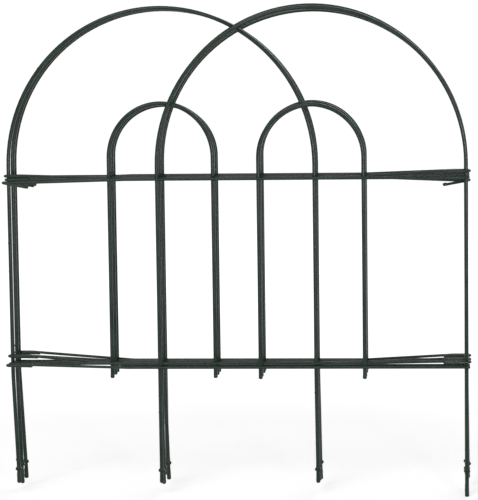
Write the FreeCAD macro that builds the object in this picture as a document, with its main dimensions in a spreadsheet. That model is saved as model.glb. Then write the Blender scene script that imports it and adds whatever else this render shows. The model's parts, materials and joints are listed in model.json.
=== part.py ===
"""Folding wire garden edging: hooped bays of plastic-coated wire, hinged end to end and folded into a flat stack."""

import FreeCAD, Part
import math
import os

import Sketcher
from FreeCAD import Placement, Rotation, Vector

# The frame: X runs along the front bay, Y goes back through the stack and Z is up. The origin is the
# flat end of the front bay's left leg. Lengths are in millimetres.
SIZES = {
    "hoop_wire": 3.4,
    "rail_wire": 2.6,
    "hoop_height": 449.2,
    "leg_spacing": 290.0,
    "inner_height": 360.6,
    "inner_spacing": 98.6,
    "inner_foot": 100.2,
    "upper_rail": 290.4,
    "lower_rail": 111.4,
    "overhang": 141.9,
    "rail_stub": 3.0,
    "weld_sink": 0.05,
    "hook_clearance": 0.35,
    "hook_tail": 22.0,
    "bend_radius": 40.0,
    "bend_from_weld": 30.0,
    "bend_from_hook": 12.0,
    "stack_gap": 10.0,
    "foot_bend": 102.0,
    "foot_bend_radius": 60.0,
    "foot_rounding": 0.9,
    "rail_rounding": 0.7,
    "ear_height": 12.0,
    "ear_width": 5.8,
    "ear_length": 3.0,
    "ear_thickness": 2.0,
}

# The hooks' tails stand off their rails by one angle and, below a neighbour's rail, droop by another.
ANGLES = {
    "tail_splay": 6.0,
    "tail_droop": 10.0,
}

# What differs from bay to bay, numbered from the front: how far each lower rail is welded above the
# common level, how far each hook is bent up from its rail, or down where negative, to pass the rail of
# the bay ahead, how far each foot reaches below the front bay's left one, and how far it leans to +X.
BAY_SIZES = {
    "lower_lift_1": 0.0,
    "upper_rise_1": -2.4,
    "lower_rise_1": 3.0,
    "far_drop_1": 0.0,
    "hinge_drop_1": 12.7,
    "far_lean_1": 0.0,
    "hinge_lean_1": 0.0,
    "lower_lift_2": 3.0,
    "upper_rise_2": 6.0,
    "lower_rise_2": 1.8,
    "far_drop_2": 0.8,
    "hinge_drop_2": 1.5,
    "far_lean_2": 0.9,
    "hinge_lean_2": 3.7,
    "lower_lift_3": 0.0,
    "upper_rise_3": 3.4,
    "lower_rise_3": 10.0,
    "far_drop_3": 3.5,
    "hinge_drop_3": 11.9,
    "far_lean_3": 0.6,
    "hinge_lean_3": 0.0,
    "lower_lift_4": 1.0,
    "upper_rise_4": -4.2,
    "lower_rise_4": 4.5,
    "far_drop_4": 2.0,
    "hinge_drop_4": 6.6,
    "far_lean_4": 1.0,
    "hinge_lean_4": 2.7,
    "lower_lift_5": 0.0,
    "upper_rise_5": -4.2,
    "lower_rise_5": 6.0,
    "far_drop_5": 3.9,
    "hinge_drop_5": 2.0,
    "far_lean_5": 2.8,
    "hinge_lean_5": 1.0,
    "lower_lift_6": 0.0,
    "upper_rise_6": 3.4,
    "lower_rise_6": 5.5,
    "far_drop_6": 4.6,
    "hinge_drop_6": 4.1,
    "far_lean_6": 1.6,
    "hinge_lean_6": 4.8,
    "lower_lift_7": 0.0,
    "upper_rise_7": -4.2,
    "lower_rise_7": 8.0,
    "far_drop_7": 2.0,
    "hinge_drop_7": 2.0,
    "far_lean_7": 0.0,
    "hinge_lean_7": 0.0,
}
BAY_COUNT = 7

# This bay stands slightly open, so that a part of the stack that swings round one leg comes to rest
# between the folded hooks there and not on them.
FANNED_BAY = 4

BAY_LENGTH = "(Sizes.leg_spacing + Sizes.overhang)"
HOOK_RADIUS = "(Sizes.hoop_wire / 2 + Sizes.hook_clearance + Sizes.rail_wire / 2)"
WELD_OFFSET = "(Sizes.hoop_wire / 2 + Sizes.rail_wire / 2 - Sizes.weld_sink)"
STACK_STEP = f"({WELD_OFFSET} + {HOOK_RADIUS})"
LEAN = f"atan(Sizes.stack_gap / {BAY_LENGTH})"

doc = FreeCAD.newDocument("GardenEdging")
sheet = doc.addObject("Spreadsheet::Sheet", "Sizes")


def fill_sheet():
    """Writes the driving dimensions, one row each: the name, then the number under that alias."""
    rows = {**SIZES, **ANGLES, **BAY_SIZES}
    for row, (name, size) in enumerate(rows.items(), start=1):
        sheet.set(f"A{row}", name)
        sheet.set(f"B{row}", str(size))
        sheet.setAlias(f"B{row}", name)
    doc.recompute()


def value(expression):
    """The number that an expression on the sheet comes to."""
    result = sheet.evalExpression(str(expression))
    return float(getattr(result, "Value", result))


def bay_side(number):
    """+1 where the bay's hinge leg is at the right of the stack, -1 where it is at the left."""
    return 1 if number % 2 else -1


def origin_plane(body, role):
    return next(feature for feature in body.Origin.OriginFeatures if feature.Role == role)


def add_sketch(body, name, role, offset=(0, 0, 0)):
    """A sketch on one of the body's own origin planes, moved by three expressions along X, Y and Z of it."""
    sketch = body.newObject("Sketcher::SketchObject", f"{body.Name}_{name}")
    sketch.AttachmentSupport = [(origin_plane(body, role), "")]
    sketch.MapMode = "FlatFace"
    for axis, distance in zip("xyz", offset):
        if distance != 0:
            sketch.setExpression(f"AttachmentOffset.Base.{axis}", distance)
    return sketch


def bind(sketch, kind, *where, expression):
    """Adds a dimension whose value follows the sheet."""
    index = sketch.addConstraint(Sketcher.Constraint(kind, *where, value(expression)))
    sketch.setExpression(f"Constraints[{index}]", expression)


def pin(sketch, geometry, point, place):
    """Fixes a point of a sketch at a place given by two expressions from the sketch's origin."""
    for kind, distance in zip(("DistanceX", "DistanceY"), place):
        if distance is not None:
            bind(sketch, kind, -1, 1, geometry, point, expression=distance)


def draw_line(sketch, start, end):
    """A straight run between two places, each a pair of expressions, pinned at both."""
    corners = [Vector(value(place[0]), value(place[1]), 0) for place in (start, end)]
    line = sketch.addGeometry(Part.LineSegment(*corners))
    pin(sketch, line, 1, start)
    pin(sketch, line, 2, end)
    return line


def draw_arc(sketch, centre, start, end, turn):
    """An arc between two places, counter-clockwise if turn is +1. It returns its first and last points too."""
    middle = Vector(value(centre[0]), value(centre[1]), 0)
    spokes = [Vector(value(place[0]), value(place[1]), 0) - middle for place in (start, end)]
    angles = [math.atan2(spoke.y, spoke.x) for spoke in spokes][::turn]
    circle = Part.Circle(middle, Vector(0, 0, 1), spokes[0].Length)
    arc = sketch.addGeometry(Part.ArcOfCircle(circle, *angles))
    return (arc, 1, 2) if turn == 1 else (arc, 2, 1)


def join(sketch, first, first_point, second, second_point):
    sketch.addConstraint(Sketcher.Constraint("Coincident", first, first_point, second, second_point))


def wire_section(body, name, role, centre, diameter, distance=0):
    """The round section that a wire's path carries."""
    sketch = add_sketch(body, name, role, (0, 0, distance))
    place = Vector(value(centre[0]), value(centre[1]), 0)
    circle = sketch.addGeometry(Part.Circle(place, Vector(0, 0, 1), value(diameter) / 2))
    pin(sketch, circle, 3, centre)
    bind(sketch, "Radius", circle, expression=f"{diameter} / 2")
    return sketch


def run_wire(body, name, path, section):
    """Draws the wire's section along every edge of its path."""
    pipe = body.newObject("PartDesign::AdditivePipe", f"{body.Name}_{name}")
    pipe.Profile = (section, [""])
    pipe.Spine = (path, [f"Edge{index + 1}" for index in range(path.GeometryCount)])
    return pipe


def draw_leg(path, leg, foot, spring, lean, downwards):
    """Draws a leg between its foot and the arch, the foot bent aside by its lean, and returns its last run."""
    if value(lean) == 0:
        if downwards:
            return draw_line(path, (leg, spring), (leg, foot))
        return draw_line(path, (leg, foot), (leg, spring))
    turn = 1 if value(lean) > 0 else -1
    angle = f"atan(abs({lean}) / (Sizes.foot_bend - {foot}))"
    reach = f"(Sizes.foot_bend_radius * tan({angle} / 2))"
    low = (f"{leg} + {turn} * {reach} * sin({angle})", f"Sizes.foot_bend - {reach} * cos({angle})")
    high = (leg, f"Sizes.foot_bend + {reach}")
    slope = [(f"{leg} + {lean}", foot), low]
    upright = [high, (leg, spring)]
    centre = (f"{leg} + {turn} * Sizes.foot_bend_radius", high[1])
    if downwards:
        first = draw_line(path, *upright[::-1])
        arc, arc_start, arc_end = draw_arc(path, centre, high, low, turn)
        last = draw_line(path, *slope[::-1])
    else:
        first = draw_line(path, *slope)
        arc, arc_start, arc_end = draw_arc(path, centre, low, high, -turn)
        last = draw_line(path, *upright)
    join(path, first, 2, arc, arc_start)
    join(path, arc, arc_end, last, 1)
    pin(path, arc, 3, (centre[0], None))
    return last


def hoop_body(label, side, feet, leans, top, spacing, inset):
    """One hoop of wire: two legs and a half-round arch, in the bay's own frame, whose origin is below the hinge leg."""
    body = doc.addObject("PartDesign::Body", label)
    body.Label = label
    near_leg = f"{-side} * {inset}"
    far_leg = f"{-side} * ({inset} + {spacing})"
    spring = f"({top} - Sizes.hoop_wire / 2 - {spacing} / 2)"
    path = add_sketch(body, "path", "XZ_Plane")
    far = draw_leg(path, far_leg, feet[0], spring, leans[0], downwards=False)
    centre = (f"{-side} * ({inset} + {spacing} / 2)", spring)
    arch, arch_start, arch_end = draw_arc(path, centre, (far_leg, spring), (near_leg, spring), -side)
    near = path.GeometryCount
    draw_leg(path, near_leg, feet[1], spring, leans[1], downwards=True)
    join(path, far, 2, arch, arch_start)
    join(path, arch, arch_end, near, 1)
    pin(path, arch, 3, (None, spring))
    section = wire_section(body, "section", "XY_Plane", (f"{far_leg} + {leans[0]}", "0"), "Sizes.hoop_wire", feet[0])
    run_wire(body, "wire", path, section)
    return body


def round_ends(body, radius):
    """Rounds the rim of each cut end of a wire."""
    doc.recompute()
    wire = body.Tip
    rims = []
    for index, edge in enumerate(wire.Shape.Edges, start=1):
        neighbours = wire.Shape.ancestorsOfType(edge, Part.Face)
        if edge.Closed and any(isinstance(face.Surface, Part.Plane) for face in neighbours):
            rims.append(f"Edge{index}")
    fillet = body.newObject("PartDesign::Fillet", f"{body.Name}_ends")
    fillet.Base = (wire, rims)
    fillet.setExpression("Radius", radius)


def press_ears(body, leg, foot, lean):
    """Pinches a pair of rounded ears out of one leg near its foot, which grip the soil."""
    sketch = add_sketch(body, f"ears_{len(body.Group)}", "XZ_Plane")
    middle = f"({leg} + {lean} * (Sizes.foot_bend - Sizes.ear_height) / (Sizes.foot_bend - {foot}))"
    reach = "(Sizes.ear_width / 2 - Sizes.ear_length / 2)"
    low = "Sizes.ear_height - Sizes.ear_length / 2"
    high = "Sizes.ear_height + Sizes.ear_length / 2"
    left = f"{middle} - {reach}"
    right = f"{middle} + {reach}"
    under = draw_line(sketch, (left, low), (right, low))
    over = draw_line(sketch, (right, high), (left, high))
    tips = [(right, (under, 2), (over, 1), low, high), (left, (over, 2), (under, 1), high, low)]
    for place, before, after, start, end in tips:
        tip, first, last = draw_arc(sketch, (place, "Sizes.ear_height"), (place, start), (place, end), 1)
        join(sketch, *before, tip, first)
        join(sketch, tip, last, *after)
        pin(sketch, tip, 3, (place, None))
    pad = body.newObject("PartDesign::Pad", f"{sketch.Name}_pad")
    pad.Profile = sketch
    pad.Midplane = True
    pad.setExpression("Length", "Sizes.ear_thickness")


def outer_hoop(number):
    """The tall hoop of a bay. Its near leg is the pin on which the next bay swings."""
    side = bay_side(number)
    feet = (f"-Sizes.far_drop_{number}", f"-Sizes.hinge_drop_{number}")
    leans = (f"Sizes.far_lean_{number}", f"Sizes.hinge_lean_{number}")
    body = hoop_body(
        f"bay{number}_outer_hoop",
        side,
        feet,
        leans,
        "Sizes.hoop_height",
        "Sizes.leg_spacing",
        "0",
    )
    round_ends(body, "Sizes.foot_rounding")
    press_ears(body, f"{-side} * Sizes.leg_spacing", feet[0], leans[0])
    press_ears(body, "0", feet[1], leans[1])
    return body


def inner_hoop(number):
    """The narrow hoop that hangs between the rails, in the middle of the tall one."""
    body = hoop_body(
        f"bay{number}_inner_hoop",
        bay_side(number),
        ("Sizes.inner_foot", "Sizes.inner_foot"),
        ("0", "0"),
        "Sizes.inner_height",
        "Sizes.inner_spacing",
        "((Sizes.leg_spacing - Sizes.inner_spacing) / 2)",
    )
    round_ends(body, "Sizes.foot_rounding")
    return body


def rail_run(body, side, level, rise):
    """The rail from its stub at the hinge leg to the start of its hook, with two slight bends in the overhang."""
    up = 1 if value(rise) > 0 else -1
    run = "(Sizes.overhang - Sizes.bend_from_weld - Sizes.bend_from_hook)"
    angle = f"atan(abs({rise}) / {run})"
    reach = f"(Sizes.bend_radius * tan({angle} / 2))"
    first = "(Sizes.leg_spacing + Sizes.bend_from_weld)"
    second = f"({BAY_LENGTH} - Sizes.bend_from_hook)"
    stub = (f"{side} * Sizes.rail_stub", level)
    bend_start = (f"{-side} * ({first} - {reach})", level)
    bend_end = (f"{-side} * ({first} + {reach} * cos({angle}))", f"{level} + {up} * {reach} * sin({angle})")
    back_start = (
        f"{-side} * ({second} - {reach} * cos({angle}))",
        f"{level} + {rise} - {up} * {reach} * sin({angle})",
    )
    back_end = (f"{-side} * ({second} + {reach})", f"{level} + {rise}")
    hook = (f"{-side} * {BAY_LENGTH}", f"{level} + {rise}")
    bend_centre = (bend_start[0], f"{level} + {up} * Sizes.bend_radius")
    back_centre = (back_end[0], f"{level} + {rise} - {up} * Sizes.bend_radius")
    path = add_sketch(body, "path", "XZ_Plane", (0, 0, WELD_OFFSET))
    straight = draw_line(path, stub, bend_start)
    bend, bend_first, bend_last = draw_arc(path, bend_centre, bend_start, bend_end, -side * up)
    slope = draw_line(path, bend_end, back_start)
    back, back_first, back_last = draw_arc(path, back_centre, back_start, back_end, side * up)
    end = draw_line(path, back_end, hook)
    join(path, straight, 2, bend, bend_first)
    join(path, bend, bend_last, slope, 1)
    join(path, slope, 2, back, back_first)
    join(path, back, back_last, end, 1)
    pin(path, bend, 3, (None, bend_centre[1]))
    pin(path, back, 3, (None, back_centre[1]))
    section = wire_section(body, "section", "YZ_Plane", (f"-{WELD_OFFSET}", level), "Sizes.rail_wire", stub[0])
    run_wire(body, "wire", path, section)


def rail_hook(body, side, height, droops):
    """The hairpin at the rail's free end: a half turn round the neighbour's leg and a straight tail."""
    middle = f"{-side} * {BAY_LENGTH}"
    rail_line = f"-{WELD_OFFSET}"
    leg_line = f"-{STACK_STEP}"
    turned = (
        f"{-side} * {HOOK_RADIUS} * sin(Sizes.tail_splay)",
        f"{leg_line} - {HOOK_RADIUS} * cos(Sizes.tail_splay)",
    )
    tail_end = (
        f"{turned[0]} + {side} * Sizes.hook_tail * cos(Sizes.tail_splay)",
        f"{turned[1]} - Sizes.hook_tail * sin(Sizes.tail_splay)",
    )
    path = add_sketch(body, "hook_path", "XY_Plane")
    if droops:
        path.AttachmentOffset = Placement(Vector(), Rotation(Vector(0, side, 0), value("Sizes.tail_droop")))
        path.setExpression("AttachmentOffset.Rotation.Angle", "Sizes.tail_droop")
    path.setExpression("AttachmentOffset.Base.x", middle)
    path.setExpression("AttachmentOffset.Base.z", height)
    turn, turn_first, turn_last = draw_arc(path, ("0", leg_line), ("0", rail_line), turned, side)
    tail = draw_line(path, turned, tail_end)
    pin(path, turn, turn_first, ("0", rail_line))
    join(path, turn, turn_last, tail, 1)
    pin(path, turn, 3, ("0", None))
    section = wire_section(body, "hook_section", "YZ_Plane", (rail_line, height), "Sizes.rail_wire", middle)
    run_wire(body, "hook", path, section)


def rail(number, place, level):
    """A straight rail welded across the front of both hoops, hooked round the bay in front."""
    label = f"bay{number}_{place}_rail"
    body = doc.addObject("PartDesign::Body", label)
    body.Label = label
    side = bay_side(number)
    rise = f"Sizes.{place}_rise_{number}"
    rail_run(body, side, level, rise)
    rail_hook(body, side, f"{level} + {rise}", droops=value(rise) < 0)
    round_ends(body, "Sizes.rail_rounding")
    return body


def place_bay(number, hoop, ahead):
    """Puts a bay's frame so that its hooks are centred on the hinge leg of the bay ahead of it."""
    side = bay_side(number)
    if ahead is None:
        hoop.setExpression("Placement.Base.x", "Sizes.leg_spacing")
        return
    along = f"{side} * {BAY_LENGTH}"
    back = STACK_STEP
    if number == FANNED_BAY:
        hoop.Placement = Placement(Vector(), Rotation(Vector(0, 0, side), value(LEAN)))
        hoop.setExpression("Placement.Rotation.Angle", LEAN)
        along = f"{side} * ({BAY_LENGTH} * cos({LEAN}) - {STACK_STEP} * sin({LEAN}))"
        back = f"({BAY_LENGTH} * sin({LEAN}) + {STACK_STEP} * cos({LEAN}))"
    hoop.setExpression("Placement.Base.x", f"{ahead.Name}.Placement.Base.x + 1 mm * {along}")
    hoop.setExpression("Placement.Base.y", f"{ahead.Name}.Placement.Base.y + 1 mm * {back}")


def build_bays():
    """Every bay from front to back: its four wires, each a body that shares the bay's placement."""
    nodes = []
    ahead = None
    for number in range(1, BAY_COUNT + 1):
        hoop = outer_hoop(number)
        place_bay(number, hoop, ahead)
        others = [
            inner_hoop(number),
            rail(number, "upper", "Sizes.upper_rail"),
            rail(number, "lower", f"(Sizes.lower_rail + Sizes.lower_lift_{number})"),
        ]
        for wire in others:
            wire.setExpression("Placement", f"{hoop.Name}.Placement")
        nodes += [hoop] + others
        ahead = hoop
    return nodes


def check_and_export(nodes):
    """Stops on any failed feature or unsound shape, then writes one STEP file for each node."""
    for item in doc.Objects:
        if "Invalid" in item.State or "Error" in item.State:
            raise RuntimeError(f"{item.Name} failed: {item.State}")
    for node in nodes:
        if node.Shape.isNull() or not node.Shape.isValid() or len(node.Shape.Solids) != 1:
            raise RuntimeError(f"{node.Label} isn't one sound solid")
    os.makedirs("parts", exist_ok=True)
    for node in nodes:
        node.Shape.exportStep(os.path.join("parts", f"{node.Label}.step"))


fill_sheet()
bay_nodes = build_bays()
doc.recompute()
check_and_export(bay_nodes)
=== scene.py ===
"""Looks for the folded garden edging fence: coating, welds, dipped ends and studio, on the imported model."""

import json
import math
import random

import bmesh
import bpy
from mathutils import Matrix, Vector


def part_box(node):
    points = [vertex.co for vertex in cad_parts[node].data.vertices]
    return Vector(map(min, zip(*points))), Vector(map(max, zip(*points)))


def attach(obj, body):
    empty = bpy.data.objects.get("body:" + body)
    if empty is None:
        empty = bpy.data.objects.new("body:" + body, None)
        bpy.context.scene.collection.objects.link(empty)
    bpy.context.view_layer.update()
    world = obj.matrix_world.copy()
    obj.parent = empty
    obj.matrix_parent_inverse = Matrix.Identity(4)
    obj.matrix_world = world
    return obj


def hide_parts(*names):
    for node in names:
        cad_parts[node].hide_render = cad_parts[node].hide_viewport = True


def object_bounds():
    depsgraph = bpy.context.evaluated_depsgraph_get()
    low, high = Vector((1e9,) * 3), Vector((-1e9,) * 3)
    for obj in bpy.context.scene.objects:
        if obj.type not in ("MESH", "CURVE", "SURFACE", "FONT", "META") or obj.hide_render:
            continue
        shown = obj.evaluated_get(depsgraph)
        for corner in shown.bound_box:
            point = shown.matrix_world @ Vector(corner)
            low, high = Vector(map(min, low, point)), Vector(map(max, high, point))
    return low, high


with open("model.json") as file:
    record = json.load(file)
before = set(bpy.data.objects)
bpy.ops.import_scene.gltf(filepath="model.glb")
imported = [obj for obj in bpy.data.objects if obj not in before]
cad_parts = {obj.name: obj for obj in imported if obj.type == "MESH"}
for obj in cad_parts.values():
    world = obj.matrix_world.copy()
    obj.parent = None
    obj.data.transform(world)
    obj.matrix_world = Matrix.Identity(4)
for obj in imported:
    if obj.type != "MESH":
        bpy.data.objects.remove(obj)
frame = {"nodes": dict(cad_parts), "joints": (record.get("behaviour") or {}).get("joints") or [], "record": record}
bpy.context.view_layer.update()
cad_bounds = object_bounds()

MM = 0.001

# The photograph's frame, in pixels, and the camera that was fitted to it, in metres and degrees.
PHOTO_WIDTH = 478
PHOTO_HEIGHT = 500
FOCAL_PIXELS = 2548.3
CAMERA_DISTANCE = 2.400
CAMERA_TARGET = Vector((0.07675, 0.0, 0.22299))
CAMERA_PITCH = math.radians(6.57)
CAMERA_YAW = math.radians(-4.50)
CAMERA_ROLL = math.radians(-0.78)

# The coating's colours, as linear light.
GREEN_DARK = (0.011, 0.023, 0.016, 1.0)
GREEN_LIGHT = (0.021, 0.037, 0.029, 1.0)
GREEN_RUBBED = (0.075, 0.098, 0.084, 1.0)
WHITE = (1.0, 1.0, 1.0, 1.0)

# What the noise of the coating is made of: cells per metre, and detail.
MOTTLE = (48.0, 3.0)
PATCHES = (16.0, 2.0)
SCRATCHES = (520.0, 4.0)
SCRATCH_STRETCH = (1.0, 1.0, 0.22)
PEEL = (700.0, 2.0)
SAGS = (110.0, 2.0)

# Which part of a noise counts, and what it comes to.
MOTTLE_SHARE = (0.36, 0.64, 0.0, 1.0)
PATCH_SHARE = (0.52, 0.64, 0.0, 1.0)
SCRATCH_SHARE = (0.60, 0.74, 0.0, 0.4)
POLISH_SPAN = (0.3, 0.7)
SMOOTHER = 0.05
ROUGHER = 0.07
SCUFF_ROUGHNESS = (0.0, 1.0, 0.0, 0.3)

FINE_BUMP = {"Strength": 0.1, "Distance": 0.00005}
COARSE_BUMP = {"Strength": 0.5, "Distance": 0.0003}
COATING_IOR = 1.45
COATING_SPECULAR = 0.22
HOOP_ROUGHNESS = 0.22
RAIL_ROUGHNESS = 0.24
HOOP_SHIFT = (0.0, 0.0, 0.0)
RAIL_SHIFT = (0.37, 0.11, 0.53)

# The studio's floor, and the sky's strength as light on the fence and as the camera sees it.
FLOOR_REACH = 40.0
FLOOR_WHITE = (0.8, 0.8, 0.8, 1.0)
FLOOR_ROUGHNESS = 0.9
SKY_AS_LIGHT = 0.2
SKY_AS_SEEN = 1.0
# The floor glows more where the lamps' light fades: the two distances from the origin between which its glow
# grows, in metres, and its strength at each.
FLOOR_GLOW = (0.4, 1.5, 0.58, 0.88)
# Each softbox: its name, its place, its width and height in metres, and its watts.
SOFTBOXES = [
    ("key", (-0.5, -1.9, 1.5), 1.2, 0.9, 22.0),
    ("flash", (0.9, -2.3, 0.25), 0.30, 0.20, 21.0),
    ("back", (0.9, 1.8, 1.4), 1.4, 1.0, 12.0),
]
CLIP_NEAR = 0.05
CLIP_FAR = 100.0

RING_STEPS = 20

# The fillet of coating at each weld.
FILLET_STEPS = 7
FILLET_ALONG_RAIL = 1.45 * MM
FILLET_ALONG_HOOP = 1.15 * MM
FILLET_PINCH = 0.35
SEAT = 0.04 * MM
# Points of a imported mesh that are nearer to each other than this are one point.
SAME_POINT = 0.002 * MM

# Which packed points belong to a rail's short end and to a foot, by their distance from it along the rail,
# and to a hook, by how far past the far leg they are.
STUB_REACH = 2.0 * MM
FOOT_REACH = 12.0 * MM
HOOK_BEYOND = 100.0 * MM

# Where the part's source bends the feet and the hooks' tails, and where it pinches the ears.
FOOT_BEND = 102.0 * MM
EAR_HEIGHT = 12.0 * MM
TAIL_SPLAY = math.radians(6.0)
TAIL_DROOP = math.radians(10.0)

# The bays are bent by hand, so no two arches are alike: how far each bay's tall arch and its inner arch
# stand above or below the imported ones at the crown, in millimetres, and the height where they begin to part.
# The skin is what the coating adds to the radius of the wire.
ARCH_RISES = {
    "outer_hoop": (2.5, 3.4, 4.0, 2.2, 1.8, 1.2, -0.9),
    "inner_hoop": (0.5, 2.6, 1.5, 1.3, 1.0, -1.2, -2.5),
}
PARTS_ABOVE = 300.0 * MM
SKIN = 0.17 * MM

# Profiles of dipped coating: the distance from the wire's cut end in millimetres, and the share of the
# wire's radius.
FOOT_PROFILE = [
    (9.5, 0.96), (8.6, 1.02), (7.0, 1.06), (5.2, 1.05), (3.4, 1.08), (1.9, 1.12), (0.9, 1.09),
    (0.2, 0.96), (-0.25, 0.72), (-0.45, 0.38),
]
TIP_PROFILE = [
    (3.6, 0.96), (3.0, 1.03), (1.9, 1.08), (0.9, 1.07), (0.15, 0.92), (-0.2, 0.66), (-0.36, 0.34),
]
LIP_PROFILE = [
    (2.3, 0.96), (1.7, 1.05), (1.0, 1.14), (0.2, 1.10), (-0.5, 1.15), (-1.3, 1.06), (-2.0, 0.96),
]
# How far a dipped ring wanders off the wire, how deep its waves are, how many go round, and their turn.
RING_SWAY = 0.02
RING_WAVE = 0.015
WAVES_ROUND = 3
WAVE_TURN = 10

# Lumps left by the dipping: the bay, the leg, the height above the ground line in millimetres and the way
# that each faces, where 0 degrees is the front and 90 the right.
SEEN_LUMPS = [
    ("bay2", "hinge", 230.0, -75.0),
    ("bay2", "hinge", 21.0, -80.0),
    ("bay4", "hinge", 252.0, 20.0),
    ("bay6", "hinge", 54.0, 80.0),
    ("bay6", "hinge", 41.0, 70.0),
    ("bay5", "far", 62.0, 85.0),
    ("bay5", "far", 38.0, 75.0),
    ("bay1", "far", 68.0, -85.0),
    ("bay1", "far", 84.0, -80.0),
    ("bay1", "hinge", 246.0, -80.0),
    ("bay1", "hinge", 33.0, -70.0),
    ("bay3", "hinge", 28.0, 75.0),
]
RANDOM_LUMPS = 7
LUMP_LENGTH = (1.6 * MM, 4.2 * MM)
LUMP_WIDTH = (0.45 * MM, 0.85 * MM)
LUMP_STEPS = 8
# How deep a lump is sunk, as a share of its width, the power that lets its belly hang, and how much broader
# than high it is.
LUMP_SUNK = 0.55
LUMP_SKEW = 1.25
LUMP_SPREAD = 1.1
# How many of the random lumps are on the legs, between which heights in millimetres, and how near to the
# legs, in radians, the others come on the arch.
LUMP_LEG_SHARE = 0.5
LUMP_HEIGHTS = (20.0, 270.0)
LUMP_ARCH_MARGIN = 0.1


def bay_frames():
    """Each bay's name, the side that its hinge is on, and the matrix from its own frame to the fence's."""
    mounts = {mount["name"]: Vector(mount["pos_m"]) for mount in frame["record"]["mounts"]}
    hinges = [Vector(joint["pos_m"]) for joint in frame["joints"]]
    pins = hinges + [mounts["free_end_leg"]]
    hooks = [mounts["free_upper_hook"]] + hinges
    arm = hooks[0] - pins[0]
    places = []
    for index, (pin, hook) in enumerate(zip(pins, hooks)):
        side = 1 if index % 2 == 0 else -1
        straight = math.atan2(arm.y, side * arm.x)
        heading = math.atan2(hook.y - pin.y, hook.x - pin.x) - straight
        matrix = Matrix.Translation((pin.x, pin.y, 0.0)) @ Matrix.Rotation(heading, 4, "Z")
        places.append((f"bay{index + 1}", side, matrix))
    return places


def half_wire(node, axis):
    """Half of a node's extent along one axis: its wire's radius where the node lies flat across that axis."""
    low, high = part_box(node)
    return (high[axis] - low[axis]) / 2


HOOP_RADIUS = half_wire("bay1_inner_hoop", 1)
COATED_RADIUS = HOOP_RADIUS + SKIN
LEG_SPACING = Vector(frame["joints"][0]["pos_m"]).x
INNER_LOW, INNER_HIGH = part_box("bay1_inner_hoop")
INNER_LEGS = (INNER_LOW.x + HOOP_RADIUS, INNER_HIGH.x - HOOP_RADIUS)
LEG_PLACES = (0.0, LEG_SPACING - INNER_LEGS[1], LEG_SPACING - INNER_LEGS[0], LEG_SPACING)


def own_points(node, matrix):
    """A node's points in its bay's own frame."""
    back = matrix.inverted()
    return [back @ vertex.co for vertex in frame["nodes"][node].data.vertices]


def middle_of(points):
    return sum(points, Vector()) / len(points)


def cut_end(points, outward):
    """The middle of the flat at the end of a wire that runs out in one direction."""
    reach = max(point.dot(outward) for point in points)
    return middle_of([point for point in points if reach - point.dot(outward) < SEAT])


def stub_end(points, side):
    """The middle of a rail's short end at its hinge leg, and the rail's radius there."""
    end = cut_end(points, Vector((side, 0.0, 0.0)))
    ring = [point.z for point in points if abs(point.x - end.x) < STUB_REACH]
    return end, (max(ring) - min(ring)) / 2


def foot_of(points, leg):
    """The lowest point of one leg's middle line, and the way down to it from where the foot bends."""
    near = [point for point in points if abs(point.x - leg) < FOOT_REACH and point.z < FOOT_BEND]
    low = min(point.z for point in near)
    foot = middle_of([point for point in near if point.z - low < SEAT])
    return foot, (foot - Vector((leg, 0.0, FOOT_BEND))).normalized()


def new_mesh(name, build, body, material):
    """A closed mesh piece that rides on a body, made by a function that fills a bmesh."""
    mesh = bpy.data.meshes.new(name)
    shape = bmesh.new()
    build(shape)
    bmesh.ops.recalc_face_normals(shape, faces=shape.faces)
    shape.to_mesh(mesh)
    shape.free()
    for polygon in mesh.polygons:
        polygon.use_smooth = True
    piece = bpy.data.objects.new(name, mesh)
    bpy.context.scene.collection.objects.link(piece)
    piece.data.materials.append(material)
    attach(piece, body)
    return piece


def skin_rings(shape, rings):
    """Joins rings of points into a closed skin, each end drawn to the middle of its ring."""
    made = [[shape.verts.new(point) for point in ring] for ring in rings]
    for first, second in zip(made, made[1:]):
        for index in range(len(first)):
            after = (index + 1) % len(first)
            shape.faces.new((first[index], first[after], second[after], second[index]))
    for ring in (made[0], made[-1]):
        tip = shape.verts.new(middle_of([vertex.co for vertex in ring]))
        for index in range(len(ring)):
            shape.faces.new((ring[index], ring[(index + 1) % len(ring)], tip))


def weld_fillet(shape, matrix, rail, gap):
    """The coating that fills the corner where a rail crosses a leg: a spool between the two round wires."""
    contact = -COATED_RADIUS + gap / 2
    rings = []
    for step in range(FILLET_STEPS + 1):
        share = step / FILLET_STEPS
        ring = []
        for turn in range(RING_STEPS):
            angle = math.tau * turn / RING_STEPS
            across = FILLET_ALONG_RAIL * math.cos(angle)
            along = FILLET_ALONG_HOOP * math.sin(angle)
            hoop_depth = SEAT - math.sqrt(COATED_RADIUS ** 2 - across ** 2)
            rail_depth = gap - SEAT - COATED_RADIUS - rail + math.sqrt(rail ** 2 - along ** 2)
            on_hoop = Vector((across, hoop_depth, along))
            on_rail = Vector((across, rail_depth, along))
            waist = Vector((across * FILLET_PINCH, contact, along * FILLET_PINCH))
            point = on_hoop * (1 - share) ** 2 + waist * 2 * share * (1 - share) + on_rail * share ** 2
            ring.append(matrix @ point)
        rings.append(ring)
    skin_rings(shape, rings)


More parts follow.
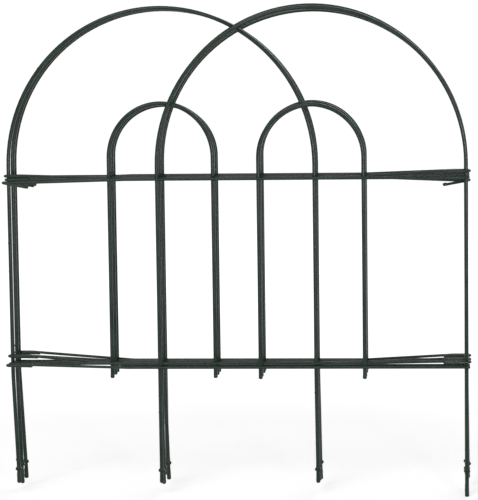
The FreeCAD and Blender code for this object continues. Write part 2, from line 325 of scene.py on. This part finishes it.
def dipped(shape, matrix, end, outward, radius, profile, chance):
    """A sleeve of coating round the end of a wire. Its rings wander a little, as a dipped end's do."""
    turn = outward.to_track_quat("-Z", "Y").to_matrix()
    rings = []
    for height, share in profile:
        ring = []
        sway = RING_SWAY * radius * chance.uniform(-1, 1)
        for step in range(RING_STEPS):
            angle = math.tau * step / RING_STEPS
            wave = RING_WAVE * math.sin(WAVES_ROUND * angle + WAVE_TURN * chance.random())
            spread = radius * share * (1 + wave)
            spoke = Vector((spread * math.cos(angle) + sway, spread * math.sin(angle), height * MM))
            ring.append(matrix @ (end + turn @ spoke))
        rings.append(ring)
    skin_rings(shape, rings)


def lump(shape, matrix, spot, along, facing, radius, length, width):
    """A drop of coating that set on a wire: long and low, with most of it sunk into the wire."""
    across = along.cross(facing).normalized()
    heart = spot + facing * (radius - LUMP_SUNK * width)
    rings = []
    for step in range(1, LUMP_STEPS):
        share = step / LUMP_STEPS
        swell = math.sin(math.pi * share ** LUMP_SKEW)
        ring = []
        for turn in range(RING_STEPS // 2):
            angle = 2 * math.tau * turn / RING_STEPS
            sideways = across * (math.cos(angle) * width * LUMP_SPREAD * swell)
            spoke = sideways + facing * (math.sin(angle) * width * swell)
            ring.append(matrix @ (heart + along * (length * (0.5 - share)) + spoke))
        rings.append(ring)
    skin_rings(shape, rings)


def risen(height, top, rise):
    """The height that a point of an arch comes to, when the arch's top rises by so much."""
    return height + rise * max(0.0, (height - PARTS_ABOVE) / (top - PARTS_ABOVE))


def coated_hoop(bay, part, rise, material):
    """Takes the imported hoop's place: the same hoop with its coating's skin, and its arch as it was bent."""
    node = f"{bay}_{part}"
    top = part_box(node)[1].z
    piece = bpy.data.objects.new(f"{node}_coated", frame["nodes"][node].data.copy())
    shape = bmesh.new()
    shape.from_mesh(piece.data)
    bmesh.ops.remove_doubles(shape, verts=shape.verts, dist=SAME_POINT)
    shape.normal_update()
    skin = [vertex.co + vertex.normal * SKIN for vertex in shape.verts]
    for vertex, place in zip(shape.verts, skin):
        vertex.co = (place.x, place.y, risen(place.z, top, rise))
    shape.to_mesh(piece.data)
    shape.free()
    bpy.context.scene.collection.objects.link(piece)
    piece.data.materials.clear()
    piece.data.materials.append(material)
    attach(piece, bay)
    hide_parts(node)


def leg_spot(foot, leg, height):
    """A point of a leg's middle line at a height, and the way up along the leg there."""
    bend = Vector((leg, 0.0, FOOT_BEND))
    if height >= FOOT_BEND:
        return Vector((leg, 0.0, height)), Vector((0.0, 0.0, 1.0))
    rise = bend - foot
    return foot + rise * ((height - foot.z) / rise.z), rise.normalized()


def arch_spot(side, top, rise, angle):
    """A point of the middle line of a tall arch that is so high and rises so far, and the way along it."""
    middle = Vector((-side * LEG_SPACING / 2, 0.0, top - HOOP_RADIUS - LEG_SPACING / 2))
    spoke = Vector((math.cos(angle), 0.0, math.sin(angle)))
    spot = middle + spoke * (LEG_SPACING / 2)
    spot.z = risen(spot.z, top, rise)
    return spot, Vector((-math.sin(angle), 0.0, math.cos(angle)))


def facing_way(along, degrees):
    """The way that a lump faces, square to the wire: 0 degrees is the front and 90 is the right."""
    angle = math.radians(degrees)
    way = Vector((math.sin(angle), -math.cos(angle), 0.0))
    return (way - along * way.dot(along)).normalized()


def add_node(tree, kind, **settings):
    """A shader node with its plain values set by socket name."""
    node = tree.nodes.new(kind)
    for name, setting in settings.items():
        node.inputs[name].default_value = setting
    return node


def noise(tree, place, scale, detail, stretch=None):
    """A noise field in the object's own coordinates. The scale is in cells per metre."""
    source = place
    if stretch:
        mapping = add_node(tree, "ShaderNodeMapping", Scale=stretch)
        tree.links.new(place, mapping.inputs["Vector"])
        source = mapping.outputs["Vector"]
    field = add_node(tree, "ShaderNodeTexNoise", Scale=scale, Detail=detail)
    tree.links.new(source, field.inputs["Vector"])
    return field.outputs["Fac"]


def remap(tree, source, low, high, to_low, to_high):
    """Stretches one range of a value onto another."""
    span = {"From Min": low, "From Max": high, "To Min": to_low, "To Max": to_high}
    node = add_node(tree, "ShaderNodeMapRange", **span)
    tree.links.new(source, node.inputs["Value"])
    return node.outputs["Result"]


def combine(tree, operation, first, second):
    node = tree.nodes.new("ShaderNodeMath")
    node.operation = operation
    tree.links.new(first, node.inputs[0])
    tree.links.new(second, node.inputs[1])
    return node.outputs[0]


def mix_colours(tree, share, first, second):
    """Mixes two colours, each a value or the output of another mix."""
    node = tree.nodes.new("ShaderNodeMix")
    node.data_type = "RGBA"
    tree.links.new(share, node.inputs[0])
    for socket, colour in ((node.inputs[6], first), (node.inputs[7], second)):
        if isinstance(colour, tuple):
            socket.default_value = colour
        else:
            tree.links.new(colour, socket)
    return node.outputs[2]


def coating(name, shift, roughness):
    """Dip-coated green plastic: satin, a little uneven along the wire, duller and paler where scuffed."""
    material = bpy.data.materials.new(name)
    material.use_nodes = True
    tree = material.node_tree
    shader = tree.nodes["Principled BSDF"]
    where = tree.nodes.new("ShaderNodeTexCoord")
    moved = add_node(tree, "ShaderNodeMapping", Location=shift)
    tree.links.new(where.outputs["Object"], moved.inputs["Vector"])
    place = moved.outputs["Vector"]
    mottle = noise(tree, place, *MOTTLE)
    patches = noise(tree, place, *PATCHES)
    scratches = noise(tree, place, *SCRATCHES, stretch=SCRATCH_STRETCH)
    body = mix_colours(tree, remap(tree, mottle, *MOTTLE_SHARE), GREEN_DARK, GREEN_LIGHT)
    scratched = remap(tree, scratches, *SCRATCH_SHARE)
    scuffed = combine(tree, "MULTIPLY", scratched, remap(tree, patches, *PATCH_SHARE))
    tree.links.new(mix_colours(tree, scuffed, body, GREEN_RUBBED), shader.inputs["Base Color"])
    polish = remap(tree, mottle, *POLISH_SPAN, roughness - SMOOTHER, roughness + ROUGHER)
    dulled = combine(tree, "ADD", polish, remap(tree, scuffed, *SCUFF_ROUGHNESS))
    tree.links.new(dulled, shader.inputs["Roughness"])
    fine = add_node(tree, "ShaderNodeBump", **FINE_BUMP)
    coarse = add_node(tree, "ShaderNodeBump", **COARSE_BUMP)
    tree.links.new(noise(tree, place, *PEEL), fine.inputs["Height"])
    tree.links.new(noise(tree, place, *SAGS), coarse.inputs["Height"])
    tree.links.new(coarse.outputs["Normal"], fine.inputs["Normal"])
    tree.links.new(fine.outputs["Normal"], shader.inputs["Normal"])
    shader.inputs["IOR"].default_value = COATING_IOR
    shader.inputs["Specular IOR Level"].default_value = COATING_SPECULAR
    return material


def dress_bay(bay, side, matrix, hoop_material, rail_material):
    """Gives a bay's rails and hoops their coating, and adds its weld fillets, dipped ends and lumps."""
    for part in ("upper_rail", "lower_rail"):
        node = frame["nodes"][f"{bay}_{part}"]
        node.data.materials.clear()
        node.data.materials.append(rail_material)
    chance = random.Random(bay)
    outer = own_points(f"{bay}_outer_hoop", matrix)
    inner = own_points(f"{bay}_inner_hoop", matrix)
    rails = [own_points(f"{bay}_{place}_rail", matrix) for place in ("upper", "lower")]
    legs = {"hinge": 0.0, "far": -side * LEG_SPACING}
    feet = {name: foot_of(outer, leg) for name, leg in legs.items()}
    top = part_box(f"{bay}_outer_hoop")[1].z
    rises = {part: values[int(bay[-1]) - 1] * MM for part, values in ARCH_RISES.items()}
    for part, rise in rises.items():
        coated_hoop(bay, part, rise, hoop_material)

    def fill_welds(shape):
        for points in rails:
            end, rail = stub_end(points, side)
            gap = COATED_RADIUS + rail + end.y
            for leg in LEG_PLACES:
                weld_fillet(shape, matrix @ Matrix.Translation((-side * leg, 0.0, end.z)), rail, gap)

    def fill_hoop_ends(shape):
        for name, leg in legs.items():
            foot, down = feet[name]
            dipped(shape, matrix, foot, down, COATED_RADIUS, FOOT_PROFILE, chance)
            ear, up = leg_spot(foot, leg, EAR_HEIGHT)
            dipped(shape, matrix, ear, -up, COATED_RADIUS, LIP_PROFILE, chance)
        for leg in LEG_PLACES[1:3]:
            near = [point for point in inner if abs(point.x + side * leg) < 2 * HOOP_RADIUS]
            down = Vector((0.0, 0.0, -1.0))
            dipped(shape, matrix, cut_end(near, down), down, COATED_RADIUS, TIP_PROFILE, chance)

    def fill_rail_ends(shape):
        for points in rails:
            stub, rail = stub_end(points, side)
            dipped(shape, matrix, stub, Vector((side, 0.0, 0.0)), rail, TIP_PROFILE[1:], chance)
            hook = [point for point in points if -side * point.x > LEG_SPACING + HOOK_BEYOND]
            back_of_hook = [point.z for point in hook if point.y > -2 * rail - HOOP_RADIUS]
            droops = max(back_of_hook) < stub.z + rail
            tilt = TAIL_DROOP if droops else 0.0
            flat = math.cos(TAIL_SPLAY)
            out = Vector((side * flat * math.cos(tilt), -math.sin(TAIL_SPLAY), -flat * math.sin(tilt)))
            dipped(shape, matrix, cut_end(hook, out), out, rail, TIP_PROFILE, chance)

    def fill_lumps(shape):
        spots = []
        for name, leg_name, height, degrees in SEEN_LUMPS:
            if name == bay:
                spots.append((leg_spot(feet[leg_name][0], legs[leg_name], height * MM), degrees))
        for _ in range(RANDOM_LUMPS):
            if chance.random() < LUMP_LEG_SHARE:
                leg_name = chance.choice(sorted(legs))
                height = chance.uniform(*LUMP_HEIGHTS) * MM
                place = leg_spot(feet[leg_name][0], legs[leg_name], height)
            else:
                angle = chance.uniform(LUMP_ARCH_MARGIN, math.pi - LUMP_ARCH_MARGIN)
                place = arch_spot(side, top, rises["outer_hoop"], angle)
            spots.append((place, chance.uniform(-180.0, 180.0)))
        for (spot, along), degrees in spots:
            facing = facing_way(along, degrees)
            lump(
                shape,
                matrix,
                spot,
                along,
                facing,
                COATED_RADIUS,
                chance.uniform(*LUMP_LENGTH),
                chance.uniform(*LUMP_WIDTH),
            )

    new_mesh(f"{bay}_weld_fillets", fill_welds, bay, rail_material)
    new_mesh(f"{bay}_hoop_ends", fill_hoop_ends, bay, hoop_material)
    new_mesh(f"{bay}_rail_ends", fill_rail_ends, bay, rail_material)
    new_mesh(f"{bay}_coating_lumps", fill_lumps, bay, hoop_material)


def seen_directly(tree):
    """1 where the camera, a reflection or glass looks at it, and 0 for light that falls on the fence."""
    path = tree.nodes.new("ShaderNodeLightPath")
    total = path.outputs["Is Camera Ray"]
    for other in ("Is Glossy Ray", "Is Transmission Ray"):
        total = combine(tree, "MAXIMUM", total, path.outputs[other])
    return total


def build_stage():
    """A white floor that keeps the fence's shadow, running out to a white world."""
    low = cad_bounds[0].z
    mesh = bpy.data.meshes.new("floor")
    corners = [(x * FLOOR_REACH, y * FLOOR_REACH, low) for x, y in ((-1, -1), (1, -1), (1, 1), (-1, 1))]
    mesh.from_pydata(corners, [], [(0, 1, 2, 3)])
    floor = bpy.data.objects.new("floor", mesh)
    bpy.context.scene.collection.objects.link(floor)
    material = bpy.data.materials.new("floor_white")
    material.use_nodes = True
    tree = material.node_tree
    shader = tree.nodes["Principled BSDF"]
    shader.inputs["Base Color"].default_value = FLOOR_WHITE
    shader.inputs["Roughness"].default_value = FLOOR_ROUGHNESS
    shader.inputs["Specular IOR Level"].default_value = 0.0
    place = tree.nodes.new("ShaderNodeTexCoord")
    away = tree.nodes.new("ShaderNodeVectorMath")
    away.operation = "LENGTH"
    tree.links.new(place.outputs["Object"], away.inputs[0])
    makeup = remap(tree, away.outputs["Value"], *FLOOR_GLOW)
    glow = add_node(tree, "ShaderNodeEmission", Color=WHITE)
    tree.links.new(combine(tree, "MULTIPLY", seen_directly(tree), makeup), glow.inputs["Strength"])
    both = tree.nodes.new("ShaderNodeAddShader")
    tree.links.new(shader.outputs[0], both.inputs[0])
    tree.links.new(glow.outputs[0], both.inputs[1])
    tree.links.new(both.outputs[0], tree.nodes["Material Output"].inputs["Surface"])
    mesh.materials.append(material)


def build_world():
    """A white world as the camera sees it, and a soft dim sky as light."""
    world = bpy.data.worlds.new("studio")
    bpy.context.scene.world = world
    world.use_nodes = True
    tree = world.node_tree
    sky = tree.nodes["Background"]
    sky.inputs["Color"].default_value = WHITE
    strength = remap(tree, seen_directly(tree), 0.0, 1.0, SKY_AS_LIGHT, SKY_AS_SEEN)
    tree.links.new(strength, sky.inputs["Strength"])


def add_softbox(name, place, width, height, watts):
    """A rectangular soft light aimed where the camera looks."""
    lamp = bpy.data.lights.new(name, "AREA")
    lamp.shape = "RECTANGLE"
    lamp.size = width
    lamp.size_y = height
    lamp.energy = watts
    holder = bpy.data.objects.new(name, lamp)
    bpy.context.scene.collection.objects.link(holder)
    holder.location = place
    holder.rotation_euler = (CAMERA_TARGET - Vector(place)).to_track_quat("-Z", "Y").to_euler()


def build_lights():
    """A softbox high on the left, a small one low on the right that draws the highlights, and one behind."""
    for softbox in SOFTBOXES:
        add_softbox(*softbox)


def build_camera():
    """The photograph's camera: nearly square on to the front bay, from a little above."""
    forward = Vector((
        math.sin(CAMERA_YAW) * math.cos(CAMERA_PITCH),
        math.cos(CAMERA_YAW) * math.cos(CAMERA_PITCH),
        -math.sin(CAMERA_PITCH),
    ))
    level = Vector((math.cos(CAMERA_YAW), -math.sin(CAMERA_YAW), 0.0))
    upright = level.cross(forward)
    right = level * math.cos(CAMERA_ROLL) + upright * math.sin(CAMERA_ROLL)
    up = right.cross(forward)
    turn = Matrix((right, up, -forward)).transposed().to_4x4()
    lens = bpy.data.cameras.new("camera")
    camera = bpy.data.objects.new("camera", lens)
    bpy.context.scene.collection.objects.link(camera)
    camera.matrix_world = Matrix.Translation(CAMERA_TARGET - forward * CAMERA_DISTANCE) @ turn
    lens.sensor_fit = "AUTO"
    lens.lens = FOCAL_PIXELS / max(PHOTO_WIDTH, PHOTO_HEIGHT) * lens.sensor_width
    lens.clip_start = CLIP_NEAR
    lens.clip_end = CLIP_FAR
    bpy.context.scene.camera = camera


hoop_coating = coating("hoop_coating", HOOP_SHIFT, HOOP_ROUGHNESS)
rail_coating = coating("rail_coating", RAIL_SHIFT, RAIL_ROUGHNESS)
for bay, side, matrix in bay_frames():
    dress_bay(bay, side, matrix, hoop_coating, rail_coating)
build_stage()
build_world()
build_lights()
build_camera()
bpy.context.scene.view_settings.view_transform = "Standard"

bpy.context.view_layer.update()
